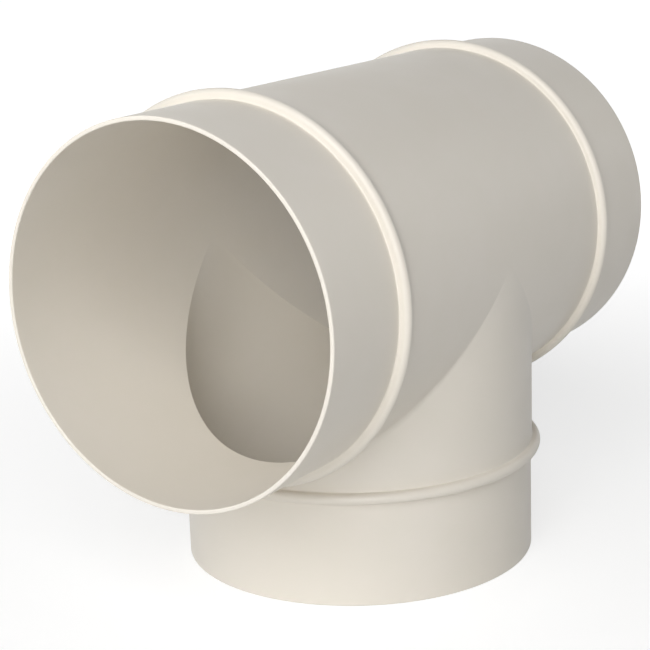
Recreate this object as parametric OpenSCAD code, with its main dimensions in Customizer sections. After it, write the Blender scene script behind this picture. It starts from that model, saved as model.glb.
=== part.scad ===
// Equal duct tee, moulded in one piece.
// Three legs of one length meet at right angles: two make the straight run, along X,
// and the third is the branch, which points down. Each leg ends in a thin spigot that a
// round duct or hose slides over, as far as a stop bead.
// The origin is the middle of the branch's mouth, which the tee stands on. Z points up.

/* [Duct] */
// Bore of the round duct that slides over each spigot
duct_bore = 150; // [100:1:250]
// Play on the diameter between a spigot and its duct
spigot_play = 1; // [0.4:0.1:2]

/* [Legs] */
// Length of each spigot, from its mouth to the middle of its bead
spigot_length = 46; // [20:1:90]
// Wall at each mouth
mouth_wall = 1.8; // [1.2:0.1:3]
// Draft of a bore: how much its radius narrows from the mouth to the bead
bore_draft = 0.6; // [0.1:0.1:1.5]
// How far the body stands proud of the spigots, on the radius
body_step = 0.5; // [0.2:0.1:1.5]
// Radius that rounds the two edges of each mouth
mouth_round = 0.5; // [0.2:0.05:0.55]

/* [Stop beads] */
// From the body's crotch to the middle of a bead, along the leg
bead_setback = 9; // [8:0.5:40]
// Height of a bead above its spigot
bead_height = 4; // [3:0.1:8]
// Thickness of a bead, whose crest is a full round
bead_thickness = 4.5; // [2:0.1:7]
// Radius of the fillets at the foot of a bead
bead_fillet = 1.5; // [0.8:0.1:3]

/* [Junction] */
// Radius of the fillet outside, where the branch meets the run
junction_fillet = 4; // [1:0.5:8]

/* [Hidden] */
$fn = 180;

spigot_r = (duct_bore - spigot_play) / 2;
mouth_bore_r = spigot_r - mouth_wall;
bore_r = mouth_bore_r - bore_draft;
body_r = spigot_r + body_step;
bead_at = body_r + bead_setback;
leg_length = bead_at + spigot_length;
crest_r = bead_thickness / 2;
spigot_foot_r = min(bead_fillet, bead_height - crest_r);
body_foot_r = min(bead_fillet, bead_height - body_step - crest_r);
blend_r = min(junction_fillet, bead_setback - crest_r - max(body_foot_r, 0) - 0.3);
plastic = [0.90, 0.88, 0.81];

// The fillet outside the junction is swept by a ball that rolls along the crease between
// branch and run and rests on both. It is pressed into them by this much, so that the
// fillet's surface crosses each wall at a small angle and doesn't only touch it.
pressed_in = 0.05;
ball_at = body_r + blend_r - pressed_in;
sweep_end = acos(sqrt(2 * pressed_in / blend_r));
sweep_steps = 48;
arc_steps = 7;
ring = arc_steps + 2;

// Middle of the ball at an angle t round the crease, which is 0 at the crotch.
function ball_middle(t) = ball_at * [cos(t), sin(t), -cos(t)];

// A point of the fillet's section at t: f runs from 0 on the branch to 1 on the run.
function fillet_point(t, f) =
    let (
        wide = acos(pow(sin(t), 2)),
        to_branch = [-cos(t), -sin(t), 0],
        to_run = [0, -sin(t), cos(t)]
    )
    ball_middle(t) + blend_r / sin(wide)
        * (sin((1 - f) * wide) * to_branch + sin(f * wide) * to_run);

// The section's inner corner, inside the wall.
function fillet_root(t) = (body_r - mouth_wall / 2) * [cos(t), sin(t), -cos(t)];

// A square corner less the quarter circle that rounds it: the part to take away.
module corner_waste(r) {
    difference() {
        square(2 * r);
        circle(r);
    }
}

// The fillet between a wall, left of Y, and a rib, below X. Its root reaches into both.
// A rib that is too low for a fillet gets none.
module foot_fillet(r) {
    root = mouth_wall / 2;
    if (r > 0.1)
        difference() {
            translate([-root, -root]) square(r + root);
            translate([r, r]) circle(r);
        }
}

// A stop bead: a rib with a round crest and a fillet on each side of its foot.
module bead_section() {
    crest_at = spigot_r + bead_height - crest_r;
    translate([crest_at, bead_at]) circle(crest_r);
    translate([0, bead_at - crest_r]) square([crest_at, bead_thickness]);
    translate([spigot_r, bead_at + crest_r]) foot_fillet(spigot_foot_r);
    translate([body_r, bead_at - crest_r]) mirror([0, 1]) foot_fillet(body_foot_r);
}

// Half of a leg's outline, solid, with its axis on Y and its mouth at the top.
module leg_section() {
    difference() {
        union() {
            square([body_r, bead_at]);
            square([spigot_r, leg_length]);
            bead_section();
        }
        translate([spigot_r - mouth_round, leg_length - mouth_round])
            corner_waste(mouth_round);
    }
}

// Half of a leg's bore, straight in the body and drafted in the spigot. It ends in what
// rounds the inner edge of the mouth.
module bore_section() {
    rounding_at = leg_length - mouth_round;
    square([bore_r, bead_at]);
    polygon([
        [0, bead_at], [bore_r, bead_at], [mouth_bore_r, rounding_at], [0, rounding_at]
    ]);
    translate([0, rounding_at]) difference() {
        square([mouth_bore_r + mouth_round, 2 * mouth_round]);
        translate([mouth_bore_r + mouth_round, 0]) circle(mouth_round);
    }
}

// The fillet in the crotch towards +X, as a strip of flat triangles.
module junction_strip() {
    angles = [for (i = [0:sweep_steps]) sweep_end * (2 * i / sweep_steps - 1)];
    points = [for (t = angles) each [
        fillet_root(t), for (j = [0:arc_steps]) fillet_point(t, j / arc_steps)
    ]];
    sides = [for (i = [0:sweep_steps - 1], j = [0:ring - 1]) each
        let (a = i * ring + j, b = i * ring + (j + 1) % ring)
            [[a, b, b + ring], [a, b + ring, a + ring]]
    ];
    last = sweep_steps * ring;
    ends = [for (j = [1:arc_steps]) each [[0, j + 1, j], [last, last + j, last + j + 1]]];
    polyhedron(points = points, faces = concat(sides, ends));
}

// Sets a leg that points along +Z in its three places round the meeting point.
module three_ways() {
    rotate([180, 0, 0]) children();
    rotate([0, 90, 0]) children();
    rotate([0, -90, 0]) children();
}

color(plastic) translate([0, 0, leg_length]) difference() {  // duct_tee
        union() {
            three_ways() rotate_extrude() leg_section();
            junction_strip();
            mirror([1, 0, 0]) junction_strip();
        }
        three_ways() rotate_extrude() bore_section();
    }
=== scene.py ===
import math
import bpy
import numpy as np
from mathutils import Matrix, Vector


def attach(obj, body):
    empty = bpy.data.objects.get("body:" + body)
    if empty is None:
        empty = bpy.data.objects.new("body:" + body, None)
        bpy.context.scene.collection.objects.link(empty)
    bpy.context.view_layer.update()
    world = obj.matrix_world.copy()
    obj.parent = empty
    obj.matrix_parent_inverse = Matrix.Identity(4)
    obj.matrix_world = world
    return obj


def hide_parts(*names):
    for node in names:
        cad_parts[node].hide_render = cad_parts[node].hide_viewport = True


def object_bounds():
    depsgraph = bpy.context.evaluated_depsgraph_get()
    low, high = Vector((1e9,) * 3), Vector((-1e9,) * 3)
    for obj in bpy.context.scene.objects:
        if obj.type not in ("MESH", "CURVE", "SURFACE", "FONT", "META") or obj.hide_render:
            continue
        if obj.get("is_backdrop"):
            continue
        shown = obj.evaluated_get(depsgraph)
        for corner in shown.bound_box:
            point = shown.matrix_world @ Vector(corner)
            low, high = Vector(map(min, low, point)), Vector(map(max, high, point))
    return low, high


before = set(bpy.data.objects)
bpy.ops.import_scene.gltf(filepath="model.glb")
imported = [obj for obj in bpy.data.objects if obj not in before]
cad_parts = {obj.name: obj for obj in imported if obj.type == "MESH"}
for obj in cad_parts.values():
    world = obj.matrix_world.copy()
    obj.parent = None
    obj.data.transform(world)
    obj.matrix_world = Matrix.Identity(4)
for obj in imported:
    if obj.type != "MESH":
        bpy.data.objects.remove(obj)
cad_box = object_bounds()

# Sizes of the moulding, in millimetres, as in the solids
SPIGOT_R, BODY_R = 74.5, 75.0
MOUTH_BORE_R, BORE_R = 72.7, 72.1
LEG, BEAD_AT = 130.0, 84.0
BEAD_HEIGHT, CREST_R, FOOT_R = 4.0, 2.25, 0.5
MOUTH_ROUND = 0.5
OUTER_BLEND, INNER_BLEND = 4.0, 0.5

# How finely the mesh is divided
HALF_COLUMNS = 112
BODY_STEPS = 14
FOOT_POINTS, CREST_POINTS, MOUTH_POINTS = 5, 21, 7
OUTER_BLEND_STEPS, INNER_BLEND_STEPS = 12, 6

# Camera, from the outlines of the mouths, beads and legs in a frame of 650 x 650
IMAGE_SIDE = 650
FOCAL_PIXELS = 1824.84
MEETING_POINT_PIXEL = (352.05, 248.43)
MEETING_POINT = Vector((0, 0, LEG / 1000))
AZIMUTH, ELEVATION, ROLL = -57.4429, 12.5178, 1.7334
DISTANCE = 0.76938

# Disc lamps: name, place, what it points at, diameter in metres, power in watts
LAMPS = [
    ("left_high", (-1.5, -0.5, 1.3), (0, 0, 0.12), 1.6, 25.5),
    ("lens_side", (-1.8, -1.15, 0.5), (0, 0, 0.12), 0.8, 12.5),
    ("back_left", (-1.4, 1.4, 0.7), (0, 0, 0.12), 1.6, 12.5),
    ("right", (1.6, -1.2, 1.0), (0, 0, 0.12), 1.6, 3.2),
    ("back", (0.8, 1.6, 1.4), (0, 0, 0.12), 1.6, 3.2),
]
SKY_STRENGTH = 0.02

# Floor: half its side in metres, its colour for light that bounces and where it is seen, and
# how far it is lifted to white there, near the tee and far from it
FLOOR_HALF = 8.0
FLOOR_COLOUR, FLOOR_SEEN = (0.80, 0.80, 0.80), (0.45, 0.45, 0.45)
LIFT_FROM_TO, LIFT_NEAR_FAR = (0.15, 0.9), (0.68, 1.0)


def arc(along, radius, r, first, last, points):
    """Points (along the leg, radius) of an arc about a centre, between two angles in degrees."""
    angles = np.radians(np.linspace(first, last, points))
    return [(along + r * math.cos(a), radius + r * math.sin(a)) for a in angles]


def without_repeats(profile):
    kept = [profile[0]]
    for point in profile[1:]:
        if math.dist(point, kept[-1]) > 1e-5:
            kept.append(point)
    return kept


def outer_profile():
    """(along the leg, radius) outside, from the body to the middle of the mouth's flat."""
    near_foot = BEAD_AT - CREST_R - FOOT_R
    far_foot = BEAD_AT + CREST_R + FOOT_R
    spigot = LEG - MOUTH_ROUND - far_foot
    profile = [(near_foot, BODY_R)]
    profile += arc(near_foot, BODY_R + FOOT_R, FOOT_R, -90, 0, FOOT_POINTS)
    profile += arc(BEAD_AT, SPIGOT_R + BEAD_HEIGHT - CREST_R, CREST_R, 180, 0, CREST_POINTS)
    profile += arc(far_foot, SPIGOT_R + FOOT_R, FOOT_R, 180, 270, FOOT_POINTS)
    for share in (0.01, 0.04, 0.1, 0.25, 0.42, 0.6, 0.77, 0.9, 0.96, 0.99):
        profile.append((far_foot + share * spigot, SPIGOT_R))
    profile += arc(LEG - MOUTH_ROUND, SPIGOT_R - MOUTH_ROUND, MOUTH_ROUND, 90, 0, MOUTH_POINTS)
    profile += [(LEG, SPIGOT_R - MOUTH_ROUND - 0.12), (LEG, (SPIGOT_R + MOUTH_BORE_R) / 2)]
    return without_repeats(profile)


def inner_profile():
    """(along the leg, radius) of the bore, from the body to the middle of the mouth's flat."""
    end = LEG - MOUTH_ROUND
    profile = [(BEAD_AT - 3.5, BORE_R), (BEAD_AT - 0.6, BORE_R)]
    for share in (0, 0.013, 0.07, 0.18, 0.35, 0.53, 0.7, 0.86, 0.95, 0.99):
        radius = BORE_R + (MOUTH_BORE_R - BORE_R) * share
        profile.append((BEAD_AT + share * (end - BEAD_AT), radius))
    profile += arc(end, MOUTH_BORE_R + MOUTH_ROUND, MOUTH_ROUND, -90, 0, MOUTH_POINTS)
    profile += [(LEG, MOUTH_BORE_R + MOUTH_ROUND + 0.12), (LEG, (SPIGOT_R + MOUTH_BORE_R) / 2)]
    return without_repeats(profile)


def leg_rows(profile, start):
    """One column of a leg's surface: even steps from its start to the profile, and the profile."""
    first, radius = profile[0]
    lead = [(start + (first - start) * k / BODY_STEPS, radius) for k in range(BODY_STEPS)]
    return lead + profile


def blend_rows(radius, ball, angles, steps):
    """The surface that a ball leaves as it rolls in the crease between branch and run.

    Each row goes from the branch to the run. The angle is 0 at the crotch, towards +X.
    """
    rows = []
    for t in angles:
        c, s = math.cos(t), math.sin(t)
        middle = (radius + ball) * np.array([c, s, -c])
        to_branch, to_run = np.array([-c, -s, 0.0]), np.array([0.0, -s, c])
        wide = math.acos(max(-1.0, min(1.0, s * s)))
        row = []
        for k in range(steps + 1):
            f = k / steps
            if wide < 1e-4:
                towards = to_branch
            else:
                towards = math.sin((1 - f) * wide) * to_branch + math.sin(f * wide) * to_run
                towards = towards / math.sin(wide)
            row.append(tuple(middle + ball * towards))
        rows.append(row)
    return rows


def skin(profile, radius, ball, blend_steps):
    """One skin of the tee about its meeting point: grids of points, and whether each is mirrored."""
    low = np.linspace(-math.pi / 2, math.pi / 2, HALF_COLUMNS + 1)
    patches = []
    for side in (1, -1):
        run_low, run_high, branch = [], [], []
        for t in low:
            rows = leg_rows(profile, (radius + ball) * abs(math.cos(t)))
            run_low.append([(side * z, r * math.sin(t), -r * math.cos(t)) for z, r in rows])
            branch.append([(side * r * math.cos(t), r * math.sin(t), -z) for z, r in rows])
        for t in low + math.pi:
            rows = leg_rows(profile, 0.0)
            run_high.append([(side * z, r * math.sin(t), -r * math.cos(t)) for z, r in rows])
        crease = blend_rows(radius, ball, low, blend_steps)
        crease = [[(side * x, y, z) for x, y, z in row] for row in crease]
        patches += [(grid, side < 0) for grid in (run_low, run_high, crease)]
        patches.append((branch, side > 0))
    return patches


def tee_mesh():
    """The moulding's outer and inner skins, joined along the flats of its three mouths."""
    corners, faces, index = [], [], {}

    def corner(point):
        key = tuple(round(c, 4) + 0.0 for c in point)
        if key not in index:
            index[key] = len(corners)
            x, y, z = point
            corners.append((x / 1000, y / 1000, (z + LEG) / 1000))
        return index[key]

    def add(patches, inside):
        for grid, mirrored in patches:
            columns = [[corner(point) for point in column] for column in grid]
            for a, b in zip(columns, columns[1:]):
                for k in range(len(a) - 1):
                    quad = [a[k], b[k], b[k + 1], a[k + 1]]
                    if mirrored != inside:
                        quad.reverse()
                    face = [v for j, v in enumerate(quad) if v != quad[j - 1]]
                    if len(face) > 2:
                        faces.append(face)

    add(skin(outer_profile(), BODY_R, OUTER_BLEND, OUTER_BLEND_STEPS), False)
    add(skin(inner_profile(), BORE_R, INNER_BLEND, INNER_BLEND_STEPS), True)
    mesh = bpy.data.meshes.new("tee_moulding")
    mesh.from_pydata(corners, [], faces)
    mesh.validate()
    mesh.shade_smooth()
    return mesh


def in_scene(name, data):
    obj = bpy.data.objects.new(name, data)
    bpy.context.scene.collection.objects.link(obj)
    return obj


def noise(tree, coordinates, scale, detail, roughness=0.5):
    """A noise texture on the object's own coordinates, in metres. Returns its value socket."""
    node = tree.nodes.new("ShaderNodeTexNoise")
    node.inputs["Scale"].default_value = scale
    node.inputs["Detail"].default_value = detail
    node.inputs["Roughness"].default_value = roughness
    tree.links.new(coordinates, node.inputs["Vector"])
    return node.outputs["Fac"]


def spread(tree, value, low, high, clamp=True):
    """Maps a noise value's usual range, 0.3 to 0.7, to low and high."""
    node = tree.nodes.new("ShaderNodeMapRange")
    node.clamp = clamp
    node.inputs["From Min"].default_value = 0.3
    node.inputs["From Max"].default_value = 0.7
    node.inputs["To Min"].default_value = low
    node.inputs["To Max"].default_value = high
    tree.links.new(value, node.inputs["Value"])
    return node.outputs["Result"]


def mixed(tree, factor, first, second):
    """A colour between two others, which are colours or sockets."""
    node = tree.nodes.new("ShaderNodeMix")
    node.data_type = "RGBA"
    for socket, colour in ((node.inputs[6], first), (node.inputs[7], second)):
        if isinstance(colour, tuple):
            socket.default_value = (*colour, 1)
        else:
            tree.links.new(colour, socket)
    tree.links.new(factor, node.inputs[0])
    return node.outputs[2]


def ivory_plastic():
    """Satin off-white plastic: cloudy pigment, faint flow waves and the tool's fine spark texture."""
    material = bpy.data.materials.new("ivory_plastic")
    material.use_nodes = True
    tree = material.node_tree
    shader = tree.nodes["Principled BSDF"]
    coordinates = tree.nodes.new("ShaderNodeTexCoord").outputs["Object"]

    clouds = spread(tree, noise(tree, coordinates, 14, 3), 0, 1)
    mottle = spread(tree, noise(tree, coordinates, 90, 2), 0, 0.35)
    base = mixed(tree, clouds, (0.785, 0.736, 0.655), (0.805, 0.757, 0.684))
    base = mixed(tree, mottle, base, (0.772, 0.735, 0.645))
    tree.links.new(base, shader.inputs["Base Color"])

    polish = spread(tree, noise(tree, coordinates, 30, 4), 0.36, 0.50)
    tree.links.new(polish, shader.inputs["Roughness"])
    shader.inputs["IOR"].default_value = 1.5

    waves = tree.nodes.new("ShaderNodeBump")
    waves.inputs["Strength"].default_value = 0.25
    waves.inputs["Distance"].default_value = 0.0006
    tree.links.new(noise(tree, coordinates, 22, 1), waves.inputs["Height"])
    grain = tree.nodes.new("ShaderNodeBump")
    grain.inputs["Strength"].default_value = 0.22
    grain.inputs["Distance"].default_value = 0.00005
    tree.links.new(noise(tree, coordinates, 1400, 2), grain.inputs["Height"])
    tree.links.new(waves.outputs["Normal"], grain.inputs["Normal"])
    tree.links.new(grain.outputs["Normal"], shader.inputs["Normal"])
    return material


def seen_directly(tree):
    """1 for camera, glossy and transmission rays, which see the white background, and else 0."""
    path = tree.nodes.new("ShaderNodeLightPath")
    total = path.outputs["Is Camera Ray"]
    for name in ("Is Glossy Ray", "Is Transmission Ray"):
        largest = tree.nodes.new("ShaderNodeMath")
        largest.operation = "MAXIMUM"
        tree.links.new(total, largest.inputs[0])
        tree.links.new(path.outputs[name], largest.inputs[1])
        total = largest.outputs[0]
    return total


def floor():
    """A pale matt floor. Where it is seen, it is lifted to white and still takes the shadow."""
    mesh = bpy.data.meshes.new("floor")
    s = FLOOR_HALF
    mesh.from_pydata([(-s, -s, 0), (s, -s, 0), (s, s, 0), (-s, s, 0)], [], [(0, 1, 2, 3)])
    material = bpy.data.materials.new("floor")
    material.use_nodes = True
    tree = material.node_tree
    shader = tree.nodes["Principled BSDF"]
    shader.inputs["Roughness"].default_value = 1.0
    shader.inputs["Specular IOR Level"].default_value = 0.0
    seen = seen_directly(tree)
    tree.links.new(mixed(tree, seen, FLOOR_COLOUR, FLOOR_SEEN), shader.inputs["Base Color"])

    out = tree.nodes.new("ShaderNodeVectorMath")
    out.operation = "LENGTH"
    tree.links.new(tree.nodes.new("ShaderNodeTexCoord").outputs["Object"], out.inputs[0])
    lift = tree.nodes.new("ShaderNodeMapRange")
    lift.interpolation_type = "SMOOTHSTEP"
    lift.inputs["From Min"].default_value, lift.inputs["From Max"].default_value = LIFT_FROM_TO
    lift.inputs["To Min"].default_value, lift.inputs["To Max"].default_value = LIFT_NEAR_FAR
    tree.links.new(out.outputs["Value"], lift.inputs["Value"])
    glow = tree.nodes.new("ShaderNodeMath")
    glow.operation = "MULTIPLY"
    tree.links.new(lift.outputs["Result"], glow.inputs[0])
    tree.links.new(seen, glow.inputs[1])
    shader.inputs["Emission Color"].default_value = (1, 1, 1, 1)
    tree.links.new(glow.outputs[0], shader.inputs["Emission Strength"])
    mesh.materials.append(material)
    in_scene("floor", mesh)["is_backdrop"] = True


def sky():
    """Even light from all round, which is white where it is seen."""
    world = bpy.data.worlds.new("studio")
    bpy.context.scene.world = world
    world.use_nodes = True
    tree = world.node_tree
    background = tree.nodes["Background"]
    background.inputs["Color"].default_value = (1, 1, 1, 1)
    strength = tree.nodes.new("ShaderNodeMapRange")
    strength.inputs["To Min"].default_value = SKY_STRENGTH
    strength.inputs["To Max"].default_value = 1.0
    tree.links.new(seen_directly(tree), strength.inputs["Value"])
    tree.links.new(strength.outputs["Result"], background.inputs["Strength"])


def lamp(name, place, target, diameter, power):
    light = bpy.data.lights.new(name, "AREA")
    light.shape, light.size, light.energy = "DISK", diameter, power
    obj = in_scene(name, light)
    obj.location = place
    obj.rotation_euler = (Vector(target) - Vector(place)).to_track_quat("-Z", "Y").to_euler()


def camera():
    """The fitted camera. It looks past the tee's meeting point, with no shift."""
    azimuth, elevation, roll = (math.radians(a) for a in (AZIMUTH, ELEVATION, ROLL))
    flat = math.cos(elevation)
    back = Vector((math.sin(azimuth) * flat, -math.cos(azimuth) * flat, math.sin(elevation)))
    right = Vector((math.cos(azimuth), math.sin(azimuth), 0))
    at_point = Matrix((right, back.cross(right), back))
    middle = IMAGE_SIDE / 2
    across, down = (pixel - middle for pixel in MEETING_POINT_PIXEL)
    ray = Vector((across / FOCAL_PIXELS, -down / FOCAL_PIXELS, -1)).normalized()
    turn = Vector((0, 0, -1)).rotation_difference(ray).to_matrix()
    to_camera = turn @ Matrix.Rotation(roll, 3, "Z") @ at_point

    data = bpy.data.cameras.new("camera")
    data.sensor_width = 36.0
    data.lens = FOCAL_PIXELS * data.sensor_width / IMAGE_SIDE
    data.clip_start, data.clip_end = 0.01, 50
    obj = in_scene("camera", data)
    place = Matrix.Translation(MEETING_POINT + back * DISTANCE)
    obj.matrix_world = place @ to_camera.transposed().to_4x4()
    bpy.context.scene.camera = obj


tee = in_scene("tee_moulding", tee_mesh())
tee.data.materials.append(ivory_plastic())
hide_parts("duct_tee")
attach(tee, "root")

floor()
sky()
for details in LAMPS:
    lamp(*details)
camera()
bpy.context.scene.view_settings.view_transform = "Standard"

seen_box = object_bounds()
boxes = [[[float(c) for c in corner] for corner in box] for box in (cad_box, seen_box)]
